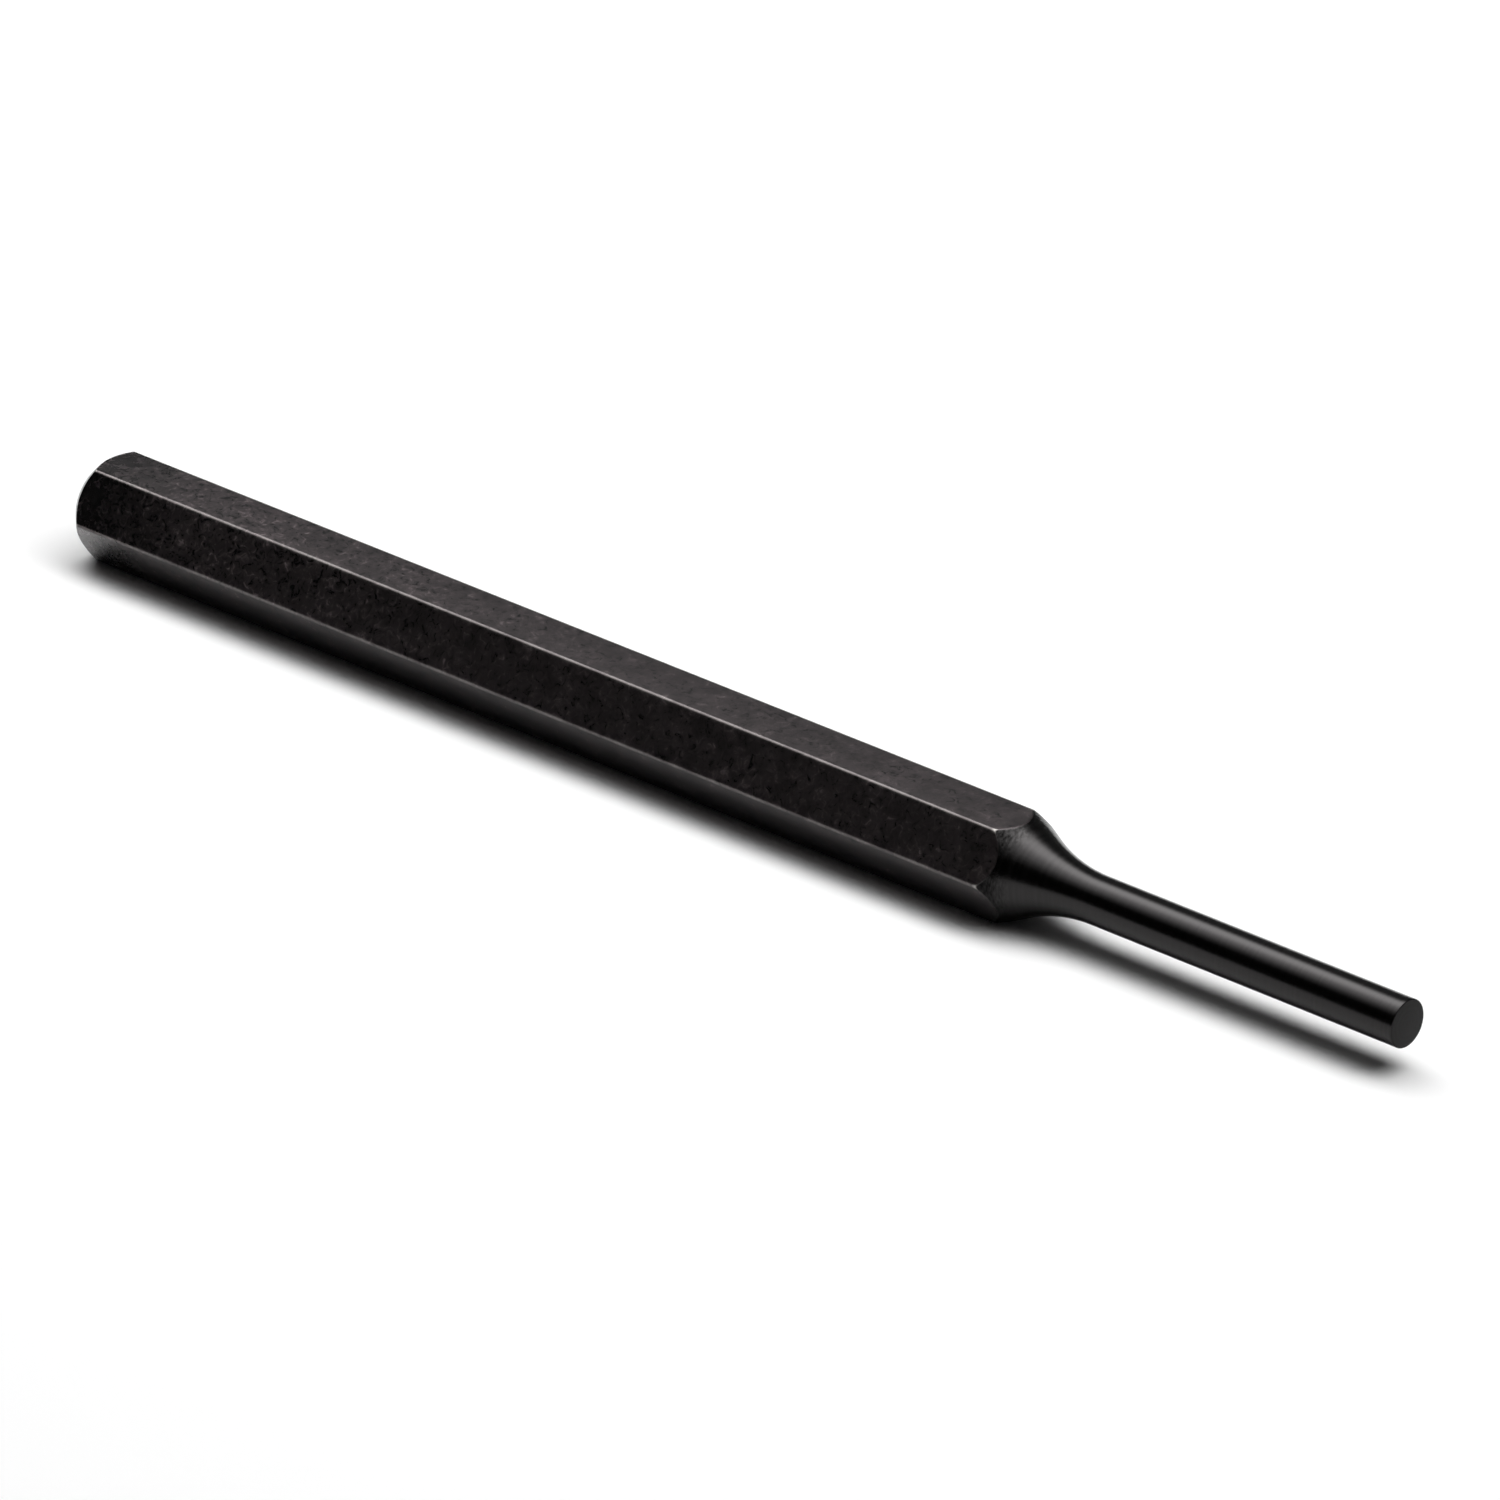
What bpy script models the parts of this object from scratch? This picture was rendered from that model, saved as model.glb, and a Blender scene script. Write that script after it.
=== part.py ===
"""Pin punch made from one length of hexagonal tool-steel bar.

The bar is turned at one end: a cone and a large concave fillet bring it down to a straight round pin.
The other end is the struck head, with a turned chamfer that cuts the six corners back.
The punch lies on one flat, with its head towards -X and its pin towards +X. Units are metres, +Z is up.
"""

from math import cos, pi, radians, sin, tan

import bmesh
import bpy

MM = 0.001

# Hexagonal bar
ACROSS_FLATS = 9.525 * MM
CORNER_RADIUS = 0.4 * MM
OVERALL_LENGTH = 158.75 * MM

# Struck head
HEAD_FACE_DIAMETER = 7.7 * MM
HEAD_CHAMFER_ANGLE = radians(45)
HEAD_EDGE_RADIUS = 0.3 * MM

# Turned pin and shoulder
PIN_DIAMETER = 4.68 * MM
PIN_LENGTH = 35.9 * MM
PIN_EDGE_RADIUS = 0.12 * MM
FILLET_RADIUS = 16.5 * MM
SHOULDER_HALF_ANGLE = radians(26)

# Mesh fineness
TURN_STEPS = 96
CORNER_STEPS = 6
EDGE_STEP_ANGLE = radians(11.25)
FILLET_STEP_ANGLE = radians(1.5)
SHARP_ANGLE = radians(14)

# The turned profile passes this far outside the bar, and the bar this far past the turned ends.
CUT_CLEARANCE = 1.0 * MM

FLAT_RADIUS = ACROSS_FLATS / 2
SHARP_CORNER_RADIUS = FLAT_RADIUS / cos(pi / 6)
PIN_RADIUS = PIN_DIAMETER / 2
HEAD_FACE_RADIUS = HEAD_FACE_DIAMETER / 2

BLACK_OXIDE = {"color": (0.022, 0.021, 0.021, 1.0), "metallic": 1.0, "roughness": 0.42}


def clear_scene():
    """Removes every object that the scene starts with."""
    for obj in list(bpy.data.objects):
        bpy.data.objects.remove(obj, do_unlink=True)


def new_collection(name):
    """Makes a collection and links it to the scene."""
    collection = bpy.data.collections.new(name)
    bpy.context.scene.collection.children.link(collection)
    return collection


def new_object(name, bm, collection):
    """Turns a bmesh into an object that stands in the given collection."""
    mesh = bpy.data.meshes.new(name)
    bm.to_mesh(mesh)
    bm.free()
    obj = bpy.data.objects.new(name, mesh)
    collection.objects.link(obj)
    return obj


def lay_along_bar(obj):
    """Lays an object that was made upright along +X, on the axis of a bar that rests on one flat."""
    obj.rotation_euler = (0, pi / 2, 0)
    obj.location = (0, 0, FLAT_RADIUS)


def steel_material(name):
    """Hardened steel with a black oxide finish."""
    material = bpy.data.materials.new(name)
    material.use_nodes = True
    shader = material.node_tree.nodes["Principled BSDF"]
    shader.inputs["Base Color"].default_value = BLACK_OXIDE["color"]
    shader.inputs["Metallic"].default_value = BLACK_OXIDE["metallic"]
    shader.inputs["Roughness"].default_value = BLACK_OXIDE["roughness"]
    material.diffuse_color = BLACK_OXIDE["color"]
    return material


def arc(centre, radius, start, end, step_angle):
    """Points on a circle in the (radius, height) plane, from one angle to another."""
    steps = max(2, round(abs(end - start) / step_angle))
    for step in range(steps + 1):
        angle = start + (end - start) * step / steps
        yield centre[0] + radius * cos(angle), centre[1] + radius * sin(angle)


def pin_end_profile(tip):
    """The pin's flat end, its small edge radius and its side down to the fillet."""
    yield 0, tip
    corner = (PIN_RADIUS - PIN_EDGE_RADIUS, tip - PIN_EDGE_RADIUS)
    yield from arc(corner, PIN_EDGE_RADIUS, pi / 2, 0, EDGE_STEP_ANGLE)


def shoulder_profile(fillet_top, blank_radius):
    """The concave fillet, tangent to the pin and the cone, then the cone out past the bar's corners."""
    centre = (PIN_RADIUS + FILLET_RADIUS, fillet_top)
    yield from arc(centre, FILLET_RADIUS, pi, pi + SHOULDER_HALF_ANGLE, FILLET_STEP_ANGLE)
    cone_radius = PIN_RADIUS + FILLET_RADIUS * (1 - cos(SHOULDER_HALF_ANGLE))
    cone_top = fillet_top - FILLET_RADIUS * sin(SHOULDER_HALF_ANGLE)
    yield blank_radius, cone_top - (blank_radius - cone_radius) / tan(SHOULDER_HALF_ANGLE)


def head_profile(end, blank_radius):
    """The head's chamfer, from outside the bar's corners in to the struck face, with its edge eased."""
    yield blank_radius, end + (blank_radius - HEAD_FACE_RADIUS) / tan(HEAD_CHAMFER_ANGLE)
    turn = pi / 2 - HEAD_CHAMFER_ANGLE
    setback = HEAD_EDGE_RADIUS * tan(turn / 2)
    centre = (HEAD_FACE_RADIUS - setback, end + HEAD_EDGE_RADIUS)
    yield from arc(centre, HEAD_EDGE_RADIUS, turn - pi / 2, -pi / 2, EDGE_STEP_ANGLE)
    yield 0, end


def turned_blank(collection):
    """The turned envelope of the whole punch, which is wider than the bar along its hexagonal part."""
    tip = OVERALL_LENGTH / 2
    fillet_rise = FILLET_RADIUS * (1 - cos(SHOULDER_HALF_ANGLE))
    blank_radius = max(SHARP_CORNER_RADIUS, PIN_RADIUS + fillet_rise) + CUT_CLEARANCE
    profile = [
        *pin_end_profile(tip),
        *shoulder_profile(tip - PIN_LENGTH, blank_radius),
        *head_profile(-tip, blank_radius),
    ]
    bm = bmesh.new()
    points = [bm.verts.new((radius, 0, height)) for radius, height in profile]
    for upper, lower in zip(points, points[1:]):
        bm.edges.new((upper, lower))
    blank = new_object("turned_blank", bm, collection)
    screw = blank.modifiers.new("Turn", "SCREW")
    screw.steps = TURN_STEPS
    screw.render_steps = TURN_STEPS
    screw.use_merge_vertices = True
    screw.merge_threshold = 1e-6
    lay_along_bar(blank)
    blank.hide_render = True
    blank.display_type = "WIRE"
    return blank


def hexagonal_bar(name, collection):
    """Bar stock with a flat down and rolled corners, a little longer than the punch."""
    bm = bmesh.new()
    bmesh.ops.create_cone(
        bm,
        cap_ends=True,
        segments=6,
        radius1=SHARP_CORNER_RADIUS,
        radius2=SHARP_CORNER_RADIUS,
        depth=OVERALL_LENGTH + 2 * CUT_CLEARANCE,
    )
    weight = bm.edges.layers.float.new("bevel_weight_edge")
    for edge in bm.edges:
        runs_along_bar = all(len(face.verts) == 4 for face in edge.link_faces)
        edge[weight] = 1.0 if runs_along_bar else 0.0
    bar = new_object(name, bm, collection)
    bevel = bar.modifiers.new("Rolled corners", "BEVEL")
    bevel.limit_method = "WEIGHT"
    bevel.width = CORNER_RADIUS * tan(pi / 6)
    bevel.segments = CORNER_STEPS
    lay_along_bar(bar)
    return bar


def bake_modifiers(obj):
    """Replaces an object's mesh with its evaluated one, so that its cut edges can be marked sharp."""
    graph = bpy.context.evaluated_depsgraph_get()
    mesh = bpy.data.meshes.new_from_object(obj.evaluated_get(graph), depsgraph=graph)
    old_mesh = obj.data
    obj.modifiers.clear()
    obj.data = mesh
    bpy.data.meshes.remove(old_mesh)
    mesh.name = obj.name


def shade(obj):
    """Shades the turned and rolled surfaces smooth, and keeps the flats flat up to their edges."""
    obj.data.shade_smooth()
    obj.data.set_sharp_from_angle(angle=SHARP_ANGLE)
    normals = obj.modifiers.new("Weighted normals", "WEIGHTED_NORMAL")
    normals.keep_sharp = True


def build_punch():
    """Turns the ends of the bar to the blank's profile and finishes the result as one solid."""
    parts = new_collection("pin_punch")
    cutters = new_collection("cutters")
    punch = hexagonal_bar("pin_punch", parts)
    blank = turned_blank(cutters)
    cut = punch.modifiers.new("Turned ends", "BOOLEAN")
    cut.operation = "INTERSECT"
    cut.object = blank
    bpy.context.view_layer.update()
    bake_modifiers(punch)
    punch.data.materials.clear()
    punch.data.materials.append(steel_material("black_oxide_steel"))
    shade(punch)
    return punch


clear_scene()
build_punch()
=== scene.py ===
"""A black pin punch, lying on one of its flats on a white table under a long soft box."""

from math import cos, pi, radians, sin, tan

import bpy
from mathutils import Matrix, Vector


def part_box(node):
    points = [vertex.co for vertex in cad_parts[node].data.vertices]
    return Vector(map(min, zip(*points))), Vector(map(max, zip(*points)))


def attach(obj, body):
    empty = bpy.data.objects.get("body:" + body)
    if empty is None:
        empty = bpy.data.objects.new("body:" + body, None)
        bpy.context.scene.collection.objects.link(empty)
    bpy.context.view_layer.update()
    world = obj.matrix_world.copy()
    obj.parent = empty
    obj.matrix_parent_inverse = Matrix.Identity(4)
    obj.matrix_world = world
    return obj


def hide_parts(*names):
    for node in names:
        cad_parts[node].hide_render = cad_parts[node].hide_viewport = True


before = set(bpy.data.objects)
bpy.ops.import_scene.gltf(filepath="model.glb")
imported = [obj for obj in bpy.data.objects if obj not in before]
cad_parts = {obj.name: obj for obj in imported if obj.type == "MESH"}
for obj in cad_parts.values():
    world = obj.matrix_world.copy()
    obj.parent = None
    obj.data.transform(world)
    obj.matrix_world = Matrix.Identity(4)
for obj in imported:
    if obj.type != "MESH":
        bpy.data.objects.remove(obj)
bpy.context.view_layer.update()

MM = 0.001

# The bar, read from the CAD node's box: it lies along X with a flat on the table.
LOW, HIGH = (Vector(corner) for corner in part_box("pin_punch"))
HEAD_END = LOW.x
PIN_END = HIGH.x
ACROSS_FLATS = HIGH.z - LOW.z
FLAT_RADIUS = ACROSS_FLATS / 2
SIDES = 6
HALF_SIDE_ANGLE = pi / SIDES
SHARP_CORNER_RADIUS = FLAT_RADIUS / cos(HALF_SIDE_ANGLE)
CORNER_RADIUS = 0.40 * MM
FLAT_CROWN = 0.035 * MM

# The turned ends, as real sizes.
HEAD_FACE_RADIUS = 3.85 * MM
HEAD_CHAMFER_ANGLE = radians(45)
HEAD_EDGE_RADIUS = 0.30 * MM
PIN_RADIUS = 2.34 * MM
PIN_LENGTH = 35.9 * MM
PIN_EDGE_RADIUS = 0.12 * MM
FILLET_RADIUS = 16.5 * MM
SHOULDER_HALF_ANGLE = radians(26)

# A faced end is crowned by this much, and closed by a small flat of this radius at its centre.
END_FACE_CROWN = 0.03 * MM
END_FACE_CENTRE = 0.15 * MM

# Between its turned ends the profile only stands clear outside the bar, at this radius.
BLANK_RADIUS = SHARP_CORNER_RADIUS + 0.6 * MM

# How finely the profile and its turn are stepped. The steps around crowd towards the bar's corners.
# The two eased edges are given as angles: where the head's starts or the pin's ends, and the step.
FACE_STEP = 0.5 * MM
CUT_STEP = 0.06 * MM
FILLET_STEP = 0.14 * MM
PIN_STEP = 0.6 * MM
SHANK_STEP = 2.0 * MM
HEAD_EDGE_ANGLES = (radians(8), radians(7))
PIN_EDGE_ANGLES = (radians(84), radians(14))
STEPS_AROUND = 216
CORNER_CROWDING = 0.8

# How much the edges between the turned ends and the flats are eased.
EDGE_EASE = 0.04 * MM

# Where the finish changes: over this depth below the bar's surface, this near to an edge, and this far
# before and past the line where a flat meets its corner.
TURNED_DEPTH = (-0.02 * MM, 0.06 * MM)
RIM_WIDTH = 0.22 * MM
CORNER_BAND = (-0.12 * MM, 0.10 * MM)

# The view, fitted to the photograph's outline: a long lens looking down from the pin's side.
VIEW_AZIMUTH = radians(41.315)
VIEW_ELEVATION = radians(27.113)
VIEW_DISTANCE = 1.6155
VIEW_TARGET = Vector((0.27 * MM, 1.54 * MM, FLAT_RADIUS))
SENSOR_WIDTH_MM = 36.0
FOCAL_LENGTH_MM = 423.8

# The room's brightness, and between which parts of a direction it grows from one to the other.
ROOM_COLOUR = "#ffffff"
ROOM_FRONT = 0.005
ROOM_BEHIND = 0.10
TOWARDS_BEHIND = (-0.2, 0.6)

# A soft box one metre up, in layers that make its light fade towards its front and back edges.
# Each layer is (front edge, back edge, radiance), with the edges in lamp heights behind the bar.
# The level goes with the soft box's own layers. Those of the glow only show as reflections.
LAMP_HEIGHT = 1.0
LAMP_LEVEL = 1.08
LAYER_GAP = 5 * MM
SOFT_BOX_LENGTH = 2.2
GLOW_LAYERS = (
    (-0.90, 1.00, 0.30),
    (-0.62, 0.80, 0.60),
    (-0.40, 0.60, 0.75),
)
SOFT_BOX_LAYERS = (
    (-0.45, 0.75, 0.30),
    (-0.22, 0.66, 0.93),
    (-0.08, 0.60, 1.07),
    (0.02, 0.50, 1.07),
    (0.12, 0.42, 0.80),
)


def linear(hex_colour):
    """An sRGB hex colour as linear red, green, blue and alpha."""
    values = [int(hex_colour[i:i + 2], 16) / 255 for i in (1, 3, 5)]
    return (*(v / 12.92 if v <= 0.04045 else ((v + 0.055) / 1.055) ** 2.4 for v in values), 1.0)


def add_node(tree, kind, inputs=None, **settings):
    """Adds a node, with its settings, and each input linked or set."""
    made = tree.nodes.new(kind)
    for name, value in settings.items():
        setattr(made, name, value)
    for key, value in (inputs or {}).items():
        if isinstance(value, bpy.types.NodeSocket):
            tree.links.new(value, made.inputs[key])
        else:
            made.inputs[key].default_value = value
    return made


# The turned profile of the whole punch, as (place along the bar, radius) from the head to the pin's end.


def spread(start, end, step):
    """Values from start to end, both included, about one step apart."""
    count = max(2, round(abs(end - start) / step))
    for i in range(count + 1):
        yield start + (end - start) * i / count


def end_face(end, edge_radius, inwards):
    """A faced end with the slightest crown, from near its centre out to the start of its edge."""
    for radius in spread(END_FACE_CENTRE, edge_radius, FACE_STEP):
        yield end + inwards * END_FACE_CROWN * (radius / edge_radius) ** 2, radius


def head_profile():
    """The struck face, its eased edge and the chamfer that trims the bar's corners."""
    turn = pi / 2 - HEAD_CHAMFER_ANGLE
    face_radius = HEAD_FACE_RADIUS - HEAD_EDGE_RADIUS * tan(turn / 2)
    yield from end_face(HEAD_END, face_radius, 1)
    face = HEAD_END + END_FACE_CROWN
    first_angle, angle_step = HEAD_EDGE_ANGLES
    for angle in spread(first_angle, turn, angle_step):
        yield face + HEAD_EDGE_RADIUS * (1 - cos(angle)), face_radius + HEAD_EDGE_RADIUS * sin(angle)
    chamfer_start = face + HEAD_EDGE_RADIUS * (1 - cos(turn))
    edge_radius = face_radius + HEAD_EDGE_RADIUS * sin(turn)
    chamfer_length = (BLANK_RADIUS - edge_radius) / tan(HEAD_CHAMFER_ANGLE)
    for along in list(spread(0, chamfer_length, CUT_STEP))[1:]:
        yield chamfer_start + along, edge_radius + along * tan(HEAD_CHAMFER_ANGLE)


def shoulder_profile():
    """The cone that cuts into the bar, the concave fillet, the straight pin and the pin's faced end."""
    fillet_end = PIN_END - PIN_LENGTH
    fillet_start = fillet_end - FILLET_RADIUS * sin(SHOULDER_HALF_ANGLE)
    cone_radius = PIN_RADIUS + FILLET_RADIUS * (1 - cos(SHOULDER_HALF_ANGLE))
    cone_length = (BLANK_RADIUS - cone_radius) / tan(SHOULDER_HALF_ANGLE)
    for before in spread(cone_length, 0, CUT_STEP):
        yield fillet_start - before, cone_radius + before * tan(SHOULDER_HALF_ANGLE)
    for angle in list(spread(SHOULDER_HALF_ANGLE, 0, FILLET_STEP / FILLET_RADIUS))[1:]:
        yield fillet_end - FILLET_RADIUS * sin(angle), PIN_RADIUS + FILLET_RADIUS * (1 - cos(angle))
    face = PIN_END - END_FACE_CROWN
    edge_start = face - PIN_EDGE_RADIUS
    for along in list(spread(fillet_end, edge_start, PIN_STEP))[1:]:
        yield along, PIN_RADIUS
    edge_centre = PIN_RADIUS - PIN_EDGE_RADIUS
    last_angle, angle_step = PIN_EDGE_ANGLES
    for angle in list(spread(0, last_angle, angle_step))[1:]:
        yield edge_start + PIN_EDGE_RADIUS * sin(angle), edge_centre + PIN_EDGE_RADIUS * cos(angle)
    yield from reversed(list(end_face(PIN_END, edge_centre, -1)))


def turned_profile():
    """The whole profile; along the bar's flats it only stands clear outside them."""
    head = list(head_profile())
    shoulder = list(shoulder_profile())
    shank = list(spread(head[-1][0], shoulder[0][0], SHANK_STEP))[1:-1]
    return head + [(along, BLANK_RADIUS) for along in shank] + shoulder


def profile_curve():
    """The profile as a straight curve along the bar's axis, with each point's radius."""
    curve = bpy.data.curves.new("turned_profile", "CURVE")
    curve.dimensions = "3D"
    curve.twist_mode = "Z_UP"
    spline = curve.splines.new("POLY")
    stations = turned_profile()
    spline.points.add(len(stations) - 1)
    for point, (along, radius) in zip(spline.points, stations):
        point.co = (along, 0, 0, 1)
        point.radius = radius
    obj = bpy.data.objects.new("turned_profile", curve)
    bpy.context.scene.collection.objects.link(obj)
    return obj


# The punch's surface follows one rule: at each place it is the smaller of the turned radius and the bar's.
PUNCH_SIZES = {
    "Flat radius": FLAT_RADIUS,
    "Corner radius": CORNER_RADIUS,
    "Flat crown": FLAT_CROWN,
    "Edge ease": EDGE_EASE,
    "Corner crowding": CORNER_CROWDING,
}


def punch_tree():
    """Geometry nodes that turn the profile, cut it to the hexagonal bar and ease the edges between them."""
    tree = bpy.data.node_groups.new("Turned hexagonal bar", "GeometryNodeTree")
    face = tree.interface
    face.new_socket("Geometry", in_out="INPUT", socket_type="NodeSocketGeometry")
    for name in PUNCH_SIZES:
        face.new_socket(name, in_out="INPUT", socket_type="NodeSocketFloat")
    face.new_socket("Steps around", in_out="INPUT", socket_type="NodeSocketInt")
    face.new_socket("Material", in_out="INPUT", socket_type="NodeSocketMaterial")
    face.new_socket("Geometry", in_out="OUTPUT", socket_type="NodeSocketGeometry")
    given = tree.nodes.new("NodeGroupInput").outputs
    math = "ShaderNodeMath"
    span = "ShaderNodeMapRange"

    # A circle turned along the profile, as wide at each place as the profile says.
    circle = add_node(tree, "GeometryNodeCurvePrimitiveCircle", {
        "Resolution": given["Steps around"], "Radius": 1.0}, mode="RADIUS").outputs["Curve"]
    profile_radius = add_node(tree, "GeometryNodeInputRadius").outputs[0]
    mesh = add_node(tree, "GeometryNodeCurveToMesh", {
        "Curve": given["Geometry"], "Profile Curve": circle, "Fill Caps": True,
        "Scale": profile_radius}).outputs["Mesh"]

    position = add_node(tree, "GeometryNodeInputPosition").outputs[0]
    place = add_node(tree, "ShaderNodeSeparateXYZ", {0: position}).outputs
    across = add_node(tree, "ShaderNodeCombineXYZ", {"Y": place["Y"], "Z": place["Z"]}).outputs[0]
    turned = add_node(tree, "ShaderNodeVectorMath", {0: across}, operation="LENGTH").outputs["Value"]
    angle = add_node(tree, math, {0: place["Z"], 1: place["Y"]}, operation="ARCTAN2").outputs[0]

    # The steps around are crowded towards the six corners, where the bar's surface bends.
    six_turns = add_node(tree, math, {0: angle, 1: SIDES}, operation="MULTIPLY").outputs[0]
    wave = add_node(tree, math, {0: six_turns}, operation="SINE").outputs[0]
    share = add_node(tree, math, {0: given["Corner crowding"], 1: SIDES}, operation="DIVIDE").outputs[0]
    shift = add_node(tree, math, {0: wave, 1: share}, operation="MULTIPLY").outputs[0]
    angle = add_node(tree, math, {0: angle, 1: shift}, operation="SUBTRACT").outputs[0]

    # The angle from the nearest flat's middle, and from the nearest corner.
    turn = add_node(tree, math, {0: angle, 1: 2 * HALF_SIDE_ANGLE, 2: 0.0}, operation="WRAP").outputs[0]
    from_middle = add_node(tree, math, {0: turn, 1: HALF_SIDE_ANGLE}, operation="SUBTRACT").outputs[0]
    from_middle = add_node(tree, math, {0: from_middle}, operation="ABSOLUTE").outputs[0]
    from_corner = add_node(tree, math, {0: HALF_SIDE_ANGLE, 1: from_middle}, operation="SUBTRACT").outputs[0]

    # The bar's radius on a flat, and on the arc of a rolled corner.
    cosine = add_node(tree, math, {0: from_middle}, operation="COSINE").outputs[0]
    on_flat = add_node(tree, math, {0: given["Flat radius"], 1: cosine}, operation="DIVIDE").outputs[0]
    inset = add_node(tree, math, {
        0: given["Flat radius"], 1: given["Corner radius"]}, operation="SUBTRACT").outputs[0]
    arc_centre = add_node(tree, math, {0: inset, 1: cos(HALF_SIDE_ANGLE)}, operation="DIVIDE").outputs[0]
    sine = add_node(tree, math, {0: from_corner}, operation="SINE").outputs[0]
    beside = add_node(tree, math, {0: arc_centre, 1: sine}, operation="MULTIPLY").outputs[0]
    ratio = add_node(tree, math, {0: beside, 1: given["Corner radius"]}, operation="DIVIDE").outputs[0]
    squared = add_node(tree, math, {0: ratio, 1: 2.0}, operation="POWER").outputs[0]
    left = add_node(tree, math, {0: 1.0, 1: squared}, operation="SUBTRACT").outputs[0]
    left = add_node(tree, math, {0: left, 1: 0.0}, operation="MAXIMUM").outputs[0]
    root = add_node(tree, math, {0: left}, operation="SQRT").outputs[0]
    reach = add_node(tree, math, {0: root, 1: given["Corner radius"]}, operation="MULTIPLY").outputs[0]
    cosine = add_node(tree, math, {0: from_corner}, operation="COSINE").outputs[0]
    on_arc = add_node(tree, math, {0: arc_centre, 1: cosine, 2: reach}, operation="MULTIPLY_ADD").outputs[0]

    # A place is on the arc where it lies further from the flat's middle than the flat's own half width.
    tangent = add_node(tree, math, {0: from_middle}, operation="TANGENT").outputs[0]
    along_flat = add_node(tree, math, {0: given["Flat radius"], 1: tangent}, operation="MULTIPLY").outputs[0]
    half_width = add_node(tree, math, {0: inset, 1: tan(HALF_SIDE_ANGLE)}, operation="MULTIPLY").outputs[0]
    in_corner = add_node(tree, math, {0: along_flat, 1: half_width}, operation="GREATER_THAN").outputs[0]
    bar = add_node(tree, "GeometryNodeSwitch", {
        "Switch": in_corner, "False": on_flat, "True": on_arc}, input_type="FLOAT").outputs[0]

    # A drawn flat is never quite flat: it falls away a little towards its corners.
    full_width = add_node(tree, math, {
        0: given["Flat radius"], 1: tan(HALF_SIDE_ANGLE)}, operation="MULTIPLY").outputs[0]
    aside = add_node(tree, math, {0: along_flat, 1: full_width}, operation="DIVIDE").outputs[0]
    aside = add_node(tree, math, {0: aside, 1: 2.0}, operation="POWER").outputs[0]
    fall = add_node(tree, math, {0: aside, 1: given["Flat crown"]}, operation="MULTIPLY").outputs[0]
    bar = add_node(tree, math, {0: bar, 1: fall}, operation="SUBTRACT").outputs[0]

    # The smaller of the two radii, with the edge between them eased, set out from the bar's axis.
    radius = add_node(tree, math, {
        0: turned, 1: bar, 2: given["Edge ease"]}, operation="SMOOTH_MIN").outputs[0]
    cosine = add_node(tree, math, {0: angle}, operation="COSINE").outputs[0]
    sine = add_node(tree, math, {0: angle}, operation="SINE").outputs[0]
    new_y = add_node(tree, math, {0: cosine, 1: radius}, operation="MULTIPLY").outputs[0]
    new_z = add_node(tree, math, {
        0: sine, 1: radius, 2: given["Flat radius"]}, operation="MULTIPLY_ADD").outputs[0]
    surface = add_node(tree, "ShaderNodeCombineXYZ", {"X": place["X"], "Y": new_y, "Z": new_z}).outputs[0]

    # What the finish needs to know of each place: if it was turned, and how near an edge or a corner it is.
    depth = add_node(tree, math, {0: bar, 1: turned}, operation="SUBTRACT").outputs[0]
    turned_share = add_node(tree, span, {
        "Value": depth, "From Min": TURNED_DEPTH[0], "From Max": TURNED_DEPTH[1]}).outputs[0]
    gap = add_node(tree, math, {0: depth}, operation="ABSOLUTE").outputs[0]
    rim = add_node(tree, span, {"Value": gap, "From Min": RIM_WIDTH, "From Max": 0.0}).outputs[0]
    past = add_node(tree, math, {0: along_flat, 1: half_width}, operation="SUBTRACT").outputs[0]
    corner = add_node(tree, span, {
        "Value": past, "From Min": CORNER_BAND[0], "From Max": CORNER_BAND[1]}).outputs[0]
    bar_share = add_node(tree, math, {0: 1.0, 1: turned_share}, operation="SUBTRACT").outputs[0]
    corner = add_node(tree, math, {0: corner, 1: bar_share}, operation="MULTIPLY").outputs[0]
    for name, value in (("turned", turned_share), ("rim", rim), ("corner", corner)):
        mesh = add_node(tree, "GeometryNodeStoreNamedAttribute", {
            "Geometry": mesh, "Name": name, "Value": value}, data_type="FLOAT", domain="POINT").outputs[0]

    moved = add_node(tree, "GeometryNodeSetPosition", {"Geometry": mesh, "Position": surface}).outputs[0]
    smooth = add_node(tree, "GeometryNodeSetShadeSmooth", {
        "Geometry": moved, "Shade Smooth": True}).outputs[0]
    real = add_node(tree, "GeometryNodeRealizeInstances", {"Geometry": smooth}).outputs[0]
    finished = add_node(tree, "GeometryNodeSetMaterial", {
        "Geometry": real, "Material": given["Material"]}).outputs[0]
    add_node(tree, "NodeGroupOutput", {"Geometry": finished})
    return tree


def make_punch(material):
    """Runs the nodes on the profile and keeps the result as a plain mesh in place."""
    profile = profile_curve()
    tree = punch_tree()
    modifier = profile.modifiers.new("Punch", "NODES")
    modifier.node_group = tree
    sockets = {item.name: item.identifier for item in tree.interface.items_tree if item.in_out == "INPUT"}
    for name, value in (*PUNCH_SIZES.items(), ("Steps around", STEPS_AROUND), ("Material", material)):
        modifier[sockets[name]] = value
    graph = bpy.context.evaluated_depsgraph_get()
    mesh = bpy.data.meshes.new_from_object(profile.evaluated_get(graph), depsgraph=graph)
    mesh.name = "punch_body"
    bpy.data.objects.remove(profile, do_unlink=True)
    punch = bpy.data.objects.new("punch_body", mesh)
    bpy.context.scene.collection.objects.link(punch)
    return punch


# Finish: lengths in millimetres, colours in sRGB, pairs as (least, most) or (from, to).

# The oxide on the drawn flats is a warm near-black, and on the turned ends neutral.
DRAWN_STEEL = "#3d3738"
TURNED_STEEL = "#302f2f"
RUBBED_STEEL = "#8f8c89"

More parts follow.
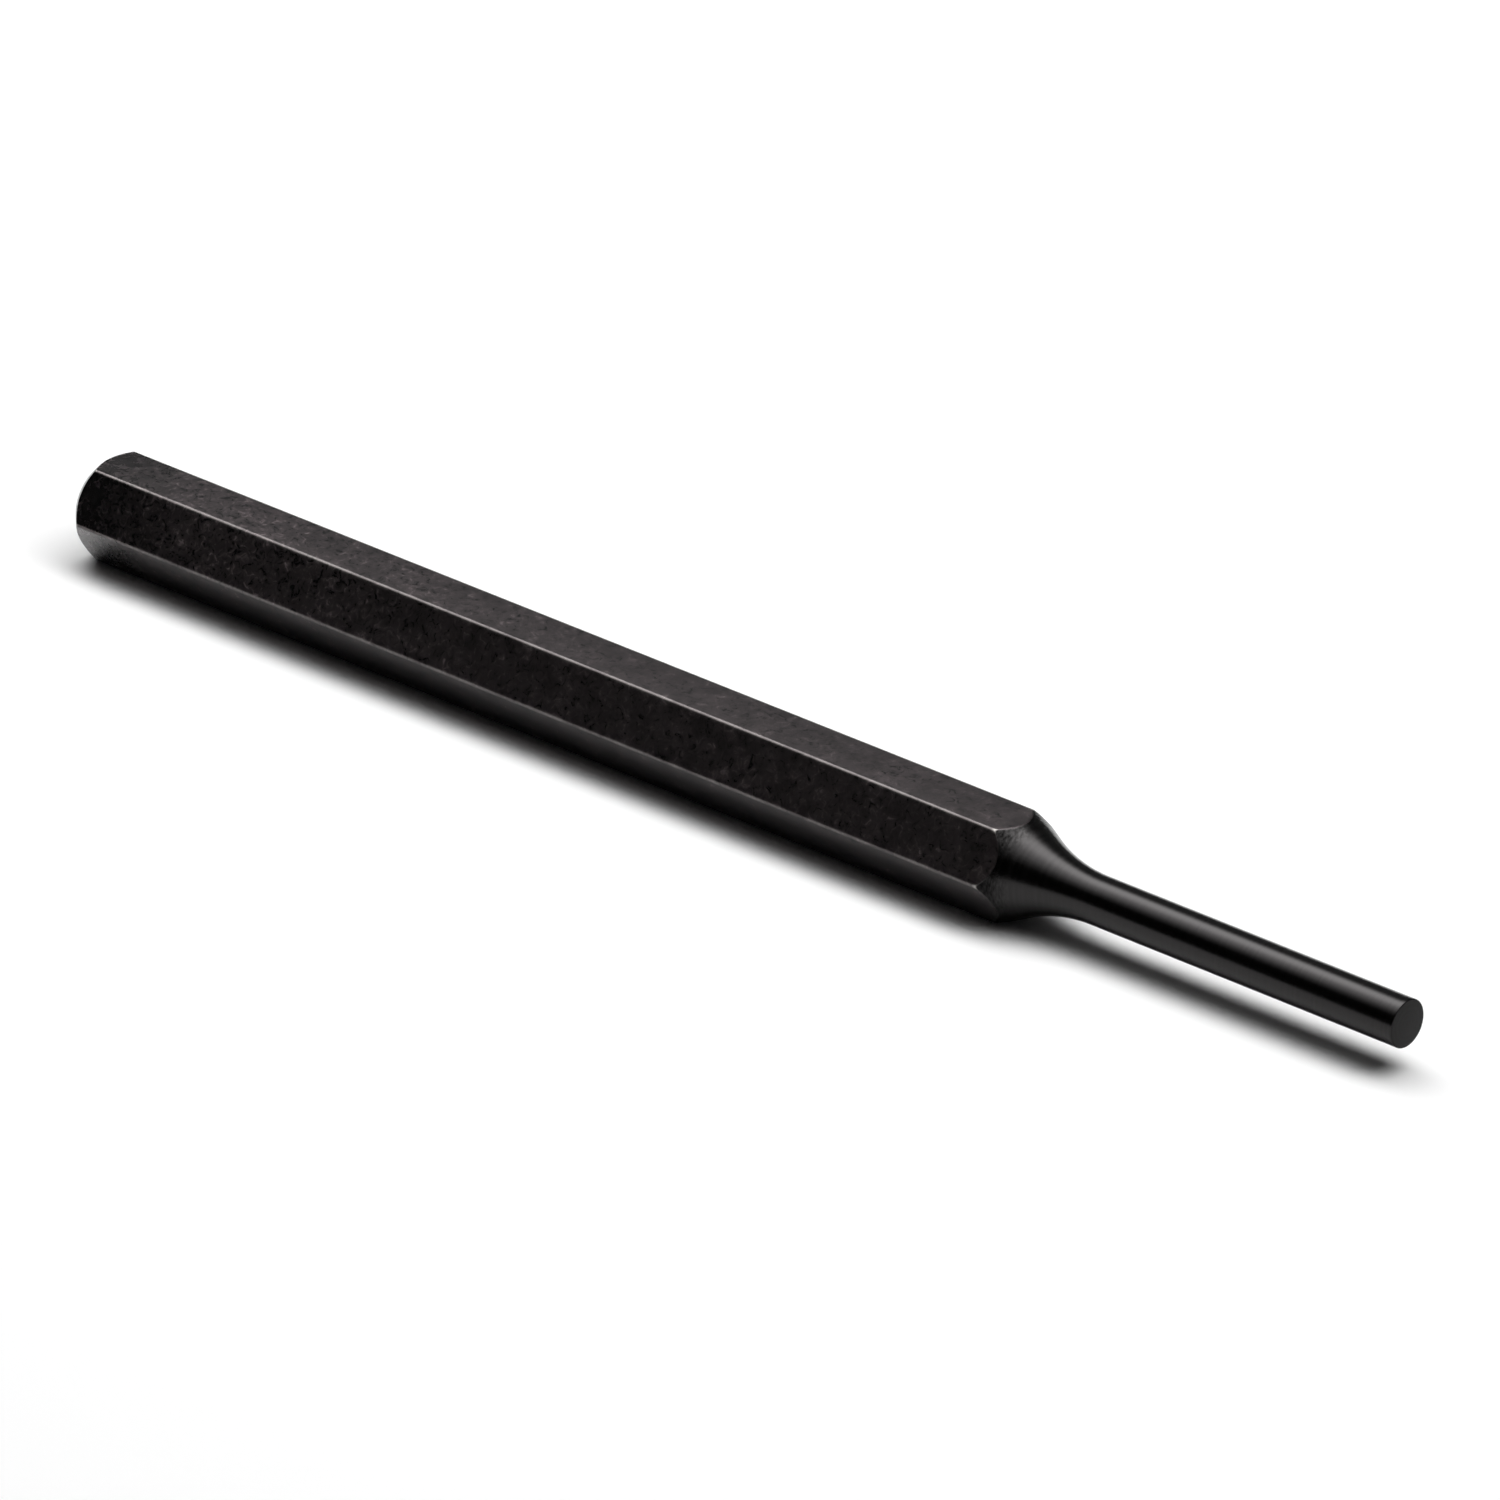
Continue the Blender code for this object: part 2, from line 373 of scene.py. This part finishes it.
# Nearly all values of a noise lie within its range, most lie within its middle, and they average its mean.
NOISE_RANGE = (0.3, 0.7)
NOISE_MIDDLE = (0.35, 0.65)
NOISE_MEAN = 0.5
NOISE_DETAIL = 3.0
NOISE_ROUGHNESS = 0.6

# The drawn skin: grain, patches and the die's lines. The grain's contrast grows with the patches' value.
# The lines' real spacing of a few hundredths of a millimetre is drawn at 0.3 mm so that they show, and
# along the bar their pattern is scaled down to run in long strokes.
GRAIN_WIDTH = 0.8
GRAIN_TWIST = 1.1
GRAIN_CONTRAST = (14.0, 46.0)
GRAIN_AREAS = (0.4, 0.9)
DARKEST_GRAIN = 0.15
PATCH_WIDTH = 2.2
PATCH_SHADE = (0.8, 1.2)
LINE_SPACING = 0.3
LINE_STRETCH = 0.03

# From the head, the grain is strongest up to the first distance and as elsewhere from the second on.
HANDLED_STRETCH = (8.0, 50.0)
HANDLED_GRAIN = 0.5

# The turned ends: the tool's rings, and the torn and dull bands, by distance off the axis. The tears are
# squeezed along the bar, because they follow the cut around it. A surface counts as a faced end between
# these two depths behind the punch's ends.
RING_SPACING = 0.25
RING_SHADE = (0.92, 1.08)
TORN_BAND = (3.9, 4.8)
TEAR_WIDTH = 0.6
TEAR_SQUEEZE = 3.0
TEAR_SHADE = (0.2, 1.2)
DULL_BAND = (4.3, 4.9)
DULL_SHADE = 0.5
FACED_DEPTH = (0.055, 0.03)
FACED_SHADE = 0.3

# Wear along the corners, as the share of bare rubbed steel that shows.
CORNER_WEAR = (0.05, 0.22)
TIP_WEAR = 0.9

# Gloss, as roughness. The bar's dressed head has this share of the flats' own roughness.
FLAT_GLOSS = (0.31, 0.45)
GLOSS_BY_SHADE = (0.5, 1.5)
DRESSED_STRETCH = (3.0, 12.0)
DRESSED_GLOSS = 0.68
TURNED_GLOSS = (0.18, 0.25)

# The film of oil, and what is left of it along the corners and beside the turned ends.
OIL_ROUGHNESS = 0.24
OIL_IOR = 1.55
OIL_FILM = (0.88, 1.0)
OIL_ON_CORNERS = 0.3
RIM_START = 0.4
OIL_ON_RIMS = 0.2

# Relief, as the height between a noise's least and greatest value.
PATCH_RELIEF = 0.010
GRAIN_RELIEF = 0.006
LINE_RELIEF = 0.004
RING_RELIEF = 0.004
TEAR_RELIEF = 0.040


def black_oxide_steel():
    """Black oxide on drawn and turned tool steel: a thin near-black layer under a film of oil.

    The eye sees satin, faintly mottled flats, glossier turned ends with fine rings, a torn band where the
    turning tool ran out of the bar's corners, and corners rubbed lighter."""
    material = bpy.data.materials.new("black_oxide_tool_steel")
    material.use_nodes = True
    tree = material.node_tree
    tree.nodes.clear()
    math = "ShaderNodeMath"
    span = "ShaderNodeMapRange"
    mix = "ShaderNodeMix"
    noise = "ShaderNodeTexNoise"
    fractal = {"Detail": NOISE_DETAIL, "Roughness": NOISE_ROUGHNESS}
    place = add_node(tree, "ShaderNodeTexCoord").outputs["Object"]
    in_mm = add_node(tree, "ShaderNodeVectorMath", {0: place, "Scale": 1 / MM}, operation="SCALE").outputs[0]
    where = add_node(tree, "ShaderNodeSeparateXYZ", {0: in_mm}).outputs
    turned = add_node(tree, "ShaderNodeAttribute", attribute_name="turned").outputs["Fac"]
    corner = add_node(tree, "ShaderNodeAttribute", attribute_name="corner").outputs["Fac"]
    rim = add_node(tree, "ShaderNodeAttribute", attribute_name="rim").outputs["Fac"]
    drawn = add_node(tree, math, {0: 1.0, 1: turned}, operation="SUBTRACT").outputs[0]

    # The grain of the drawn and blackened skin, just under a millimetre wide, and wider uneven patches.
    grain = add_node(tree, noise, {
        "Vector": in_mm, "Scale": 1 / GRAIN_WIDTH, "Distortion": GRAIN_TWIST, **fractal}).outputs["Fac"]
    patches = add_node(tree, noise, {"Vector": in_mm, "Scale": 1 / PATCH_WIDTH, **fractal}).outputs["Fac"]
    # Lines that the drawing die leaves along the bar.
    along = add_node(tree, "ShaderNodeMapping", {
        "Vector": in_mm, "Scale": (LINE_STRETCH, 1.0, 1.0)}).outputs[0]
    drawn_lines = add_node(tree, noise, {
        "Vector": along, "Scale": 1 / LINE_SPACING, **fractal}).outputs["Fac"]
    # Rings that the turning tool leaves: its real feed of about 0.1 mm is drawn at 0.25 mm so that it shows.
    # They run round the axis on the cone, the fillet and the pin, and as circles on the faced ends.
    up = add_node(tree, math, {0: where["Z"], 1: FLAT_RADIUS / MM}, operation="SUBTRACT").outputs[0]
    off_axis = add_node(tree, "ShaderNodeCombineXYZ", {"Y": where["Y"], "Z": up}).outputs[0]
    off_axis = add_node(tree, "ShaderNodeVectorMath", {0: off_axis}, operation="LENGTH").outputs["Value"]
    along_profile = add_node(tree, math, {0: where["X"], 1: off_axis}, operation="ADD").outputs[0]
    rings = add_node(tree, noise, {
        "W": along_profile, "Scale": 1 / RING_SPACING, **fractal}, noise_dimensions="1D").outputs["Fac"]
    # Where the tool met the bar's corners its cut was broken, so the cone is torn and duller there.
    torn = add_node(tree, span, {
        "Value": off_axis, "From Min": TORN_BAND[0], "From Max": TORN_BAND[1]}).outputs[0]
    torn = add_node(tree, math, {0: torn, 1: turned}, operation="MULTIPLY").outputs[0]
    around = add_node(tree, "ShaderNodeMapping", {
        "Vector": in_mm, "Scale": (TEAR_SQUEEZE, 1.0, 1.0)}).outputs[0]
    tears = add_node(tree, noise, {"Vector": around, "Scale": 1 / TEAR_WIDTH, **fractal}).outputs["Fac"]
    # The struck face and the pin's end are faced, and lie equally far from the middle.
    off_middle = add_node(tree, math, {0: where["X"]}, operation="ABSOLUTE").outputs[0]
    faced = add_node(tree, span, {
        "Value": off_middle, "From Min": PIN_END / MM - FACED_DEPTH[0],
        "From Max": PIN_END / MM - FACED_DEPTH[1]}).outputs[0]

    # Shade of the drawn skin: mostly even, with dark pits and light grains, and more of them near the head.
    from_head = add_node(tree, math, {0: where["X"], 1: HEAD_END / MM}, operation="SUBTRACT").outputs[0]
    handled = add_node(tree, span, {
        "Value": from_head, "From Min": HANDLED_STRETCH[0], "From Max": HANDLED_STRETCH[1],
        "To Min": HANDLED_GRAIN, "To Max": 0.0}).outputs[0]
    areas = add_node(tree, math, {0: patches, 1: handled}, operation="ADD").outputs[0]
    contrast = add_node(tree, span, {
        "Value": areas, "From Min": GRAIN_AREAS[0], "From Max": GRAIN_AREAS[1],
        "To Min": GRAIN_CONTRAST[0], "To Max": GRAIN_CONTRAST[1]}).outputs[0]
    deviation = add_node(tree, math, {0: grain, 1: NOISE_MEAN}, operation="SUBTRACT").outputs[0]
    flat_shade = add_node(tree, math, {0: deviation}, operation="ABSOLUTE").outputs[0]
    flat_shade = add_node(tree, math, {0: flat_shade, 1: deviation}, operation="MULTIPLY").outputs[0]
    patch_shade = add_node(tree, span, {
        "Value": patches, "From Min": NOISE_RANGE[0], "From Max": NOISE_RANGE[1],
        "To Min": PATCH_SHADE[0], "To Max": PATCH_SHADE[1]}).outputs[0]
    flat_shade = add_node(tree, math, {0: flat_shade, 1: contrast, 2: patch_shade},
                          operation="MULTIPLY_ADD").outputs[0]
    flat_shade = add_node(tree, math, {0: flat_shade, 1: DARKEST_GRAIN}, operation="MAXIMUM").outputs[0]

    # Shade of the turned ends: faint rings, dull tears beside the flats, and darker faced ends.
    ring_shade = add_node(tree, span, {
        "Value": rings, "From Min": NOISE_RANGE[0], "From Max": NOISE_RANGE[1],
        "To Min": RING_SHADE[0], "To Max": RING_SHADE[1]}).outputs[0]
    tear_shade = add_node(tree, span, {
        "Value": tears, "From Min": NOISE_MIDDLE[0], "From Max": NOISE_MIDDLE[1],
        "To Min": TEAR_SHADE[0], "To Max": TEAR_SHADE[1]}).outputs[0]
    dull = add_node(tree, span, {
        "Value": off_axis, "From Min": DULL_BAND[0], "From Max": DULL_BAND[1],
        "To Min": 1.0, "To Max": DULL_SHADE}).outputs[0]
    tear_shade = add_node(tree, math, {0: tear_shade, 1: dull}, operation="MULTIPLY").outputs[0]
    turned_shade = add_node(tree, mix, {"Factor": torn, "A": ring_shade, "B": tear_shade}).outputs[0]
    face_shade = add_node(tree, span, {"Value": faced, "To Min": 1.0, "To Max": FACED_SHADE}).outputs[0]
    turned_shade = add_node(tree, math, {0: turned_shade, 1: face_shade}, operation="MULTIPLY").outputs[0]

    shade = add_node(tree, mix, {"Factor": turned, "A": flat_shade, "B": turned_shade}).outputs[0]
    colour = add_node(tree, mix, {
        "Factor": turned, 6: linear(DRAWN_STEEL), 7: linear(TURNED_STEEL)}, data_type="RGBA").outputs[2]
    colour = add_node(tree, mix, {
        "Factor": 1.0, 6: colour, 7: shade}, data_type="RGBA", blend_type="MULTIPLY").outputs[2]

    # Handling rubs the oxide thin along the corners, unevenly, and most at the tips where they end.
    rubbed = add_node(tree, span, {
        "Value": patches, "From Min": NOISE_MIDDLE[0], "From Max": NOISE_MIDDLE[1],
        "To Min": CORNER_WEAR[0], "To Max": CORNER_WEAR[1]}).outputs[0]
    rubbed = add_node(tree, math, {0: rubbed, 1: corner}, operation="MULTIPLY").outputs[0]
    tips = add_node(tree, math, {0: corner, 1: rim}, operation="MULTIPLY").outputs[0]
    rubbed = add_node(tree, math, {0: tips, 1: TIP_WEAR, 2: rubbed}, operation="MULTIPLY_ADD").outputs[0]
    colour = add_node(tree, mix, {
        "Factor": rubbed, 6: colour, 7: linear(RUBBED_STEEL)}, data_type="RGBA").outputs[2]

    # The porous drawn skin holds a film of oil, thinner in some spots and wiped off its corners and rims.
    oil = add_node(tree, span, {
        "Value": grain, "From Min": NOISE_RANGE[0], "From Max": NOISE_RANGE[1],
        "To Min": OIL_FILM[0], "To Max": OIL_FILM[1]}).outputs[0]
    on_corners = add_node(tree, span, {"Value": corner, "To Min": 1.0, "To Max": OIL_ON_CORNERS}).outputs[0]
    on_rims = add_node(tree, span, {
        "Value": rim, "From Min": RIM_START, "To Min": 1.0, "To Max": OIL_ON_RIMS}).outputs[0]
    for share in (drawn, on_corners, on_rims):
        oil = add_node(tree, math, {0: oil, 1: share}, operation="MULTIPLY").outputs[0]

    # The gloss: satin flats, smoother near the head where the bar was dressed, and glossier turned ends.
    flat_gloss = add_node(tree, span, {
        "Value": flat_shade, "From Min": GLOSS_BY_SHADE[0], "From Max": GLOSS_BY_SHADE[1],
        "To Min": FLAT_GLOSS[0], "To Max": FLAT_GLOSS[1]}).outputs[0]
    dressed = add_node(tree, span, {
        "Value": from_head, "From Min": DRESSED_STRETCH[0], "From Max": DRESSED_STRETCH[1],
        "To Min": DRESSED_GLOSS, "To Max": 1.0}).outputs[0]
    flat_gloss = add_node(tree, math, {0: flat_gloss, 1: dressed}, operation="MULTIPLY").outputs[0]
    turned_gloss = add_node(tree, span, {
        "Value": rings, "From Min": NOISE_RANGE[0], "From Max": NOISE_RANGE[1],
        "To Min": TURNED_GLOSS[0], "To Max": TURNED_GLOSS[1]}).outputs[0]
    gloss = add_node(tree, mix, {"Factor": turned, "A": flat_gloss, "B": turned_gloss}).outputs[0]

    # The relief: patches, grain and drawn lines on the flats, rings and tears on the turned ends.
    relief = None
    for height, amount, depth in (
        (patches, drawn, PATCH_RELIEF),
        (grain, drawn, GRAIN_RELIEF),
        (drawn_lines, drawn, LINE_RELIEF),
        (rings, turned, RING_RELIEF),
        (tears, torn, TEAR_RELIEF),
    ):
        inputs = {"Height": height, "Strength": amount, "Distance": depth * MM}
        if relief is not None:
            inputs["Normal"] = relief
        relief = add_node(tree, "ShaderNodeBump", inputs).outputs[0]

    shader = add_node(tree, "ShaderNodeBsdfPrincipled", {
        "Base Color": colour, "Metallic": 1.0, "Roughness": gloss, "Normal": relief,
        "Coat Weight": oil, "Coat Roughness": OIL_ROUGHNESS, "Coat IOR": OIL_IOR, "Coat Normal": relief})
    add_node(tree, "ShaderNodeOutputMaterial", {"Surface": shader.outputs[0]})
    return material


# Light that has already been scattered once finds the table this dark, which keeps the thin shadow where
# the bar touches it as deep as in the photograph.
TABLE_WHITE = "#ffffff"
TABLE_SCATTERED = "#bfbfbf"
TABLE_ROUGHNESS = 0.9
TABLE_SIZE = 8.0

# The table top lies this little below the punch, so that the two don't share a plane.
TABLE_GAP = 0.01 * MM


def table_white():
    """A matt white laminate table top, which gives the eye an even white with soft shadows."""
    material = bpy.data.materials.new("matt_white_table")
    material.use_nodes = True
    tree = material.node_tree
    shader = tree.nodes["Principled BSDF"]
    scattered = add_node(tree, "ShaderNodeLightPath").outputs["Diffuse Depth"]
    colour = add_node(tree, "ShaderNodeMix", {
        "Factor": scattered, 6: linear(TABLE_WHITE), 7: linear(TABLE_SCATTERED)}, data_type="RGBA").outputs[2]
    tree.links.new(colour, shader.inputs["Base Color"])
    shader.inputs["Roughness"].default_value = TABLE_ROUGHNESS
    shader.inputs["Specular IOR Level"].default_value = 0.0
    return material


# Studio


def make_table():
    """The white table that the punch lies on."""
    bpy.ops.mesh.primitive_plane_add(size=TABLE_SIZE, location=(0, 0, -TABLE_GAP))
    table = bpy.context.object
    table.name = "white_table"
    table.data.materials.append(table_white())


def soft_box_layer(name, height, front, back, radiance, lights_table):
    """One level rectangle of soft light, long along the bar, from its front to its back edge.

    A layer that doesn't light the table is only seen as a reflection in the steel."""
    lamp = bpy.data.lights.new(name, "AREA")
    lamp.shape = "RECTANGLE"
    lamp.size = SOFT_BOX_LENGTH * height
    lamp.size_y = (back - front) * height
    lamp.energy = radiance * pi * lamp.size * lamp.size_y
    obj = bpy.data.objects.new(name, lamp)
    obj.location = (0, (front + back) / 2 * height, height)
    obj.visible_diffuse = lights_table
    bpy.context.scene.collection.objects.link(obj)


def light_scene():
    """A long soft box overhead, the glow that its reflection fades out in, and a dim room."""
    for i, (front, back, radiance) in enumerate(SOFT_BOX_LAYERS):
        height = LAMP_HEIGHT + i * LAYER_GAP
        soft_box_layer(f"soft_box_{i}", height, front, back, radiance * LAMP_LEVEL, lights_table=True)
    for i, (front, back, radiance) in enumerate(GLOW_LAYERS):
        height = LAMP_HEIGHT - (i + 1) * LAYER_GAP
        soft_box_layer(f"glow_{i}", height, front, back, radiance, lights_table=False)
    bpy.context.scene.world = dim_room()


def dim_room():
    """The world: a dim room, lighter behind the bar than on the camera's side."""
    world = bpy.data.worlds.new("studio")
    world.use_nodes = True
    tree = world.node_tree
    tree.nodes.clear()
    way = add_node(tree, "ShaderNodeTexCoord").outputs["Generated"]
    way = add_node(tree, "ShaderNodeSeparateXYZ", {0: way}).outputs
    level = add_node(tree, "ShaderNodeMapRange", {
        "Value": way["Y"], "From Min": TOWARDS_BEHIND[0], "From Max": TOWARDS_BEHIND[1],
        "To Min": ROOM_FRONT, "To Max": ROOM_BEHIND}).outputs[0]
    background = add_node(tree, "ShaderNodeBackground", {"Color": linear(ROOM_COLOUR), "Strength": level})
    add_node(tree, "ShaderNodeOutputWorld", {"Surface": background.outputs[0]})
    return world


def place_camera():
    """The photograph's camera."""
    camera = bpy.data.cameras.new("camera")
    camera.sensor_width = SENSOR_WIDTH_MM
    camera.lens = FOCAL_LENGTH_MM
    back = Vector((
        sin(VIEW_AZIMUTH) * cos(VIEW_ELEVATION),
        -cos(VIEW_AZIMUTH) * cos(VIEW_ELEVATION),
        sin(VIEW_ELEVATION),
    ))
    obj = bpy.data.objects.new("camera", camera)
    obj.location = VIEW_TARGET + back * VIEW_DISTANCE
    obj.rotation_euler = back.to_track_quat("Z", "Y").to_euler()
    bpy.context.scene.collection.objects.link(obj)
    bpy.context.scene.camera = obj


place_camera()
light_scene()
make_table()
punch = make_punch(black_oxide_steel())
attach(punch, "root")
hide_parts("pin_punch")

bpy.context.scene.view_settings.view_transform = "Standard"
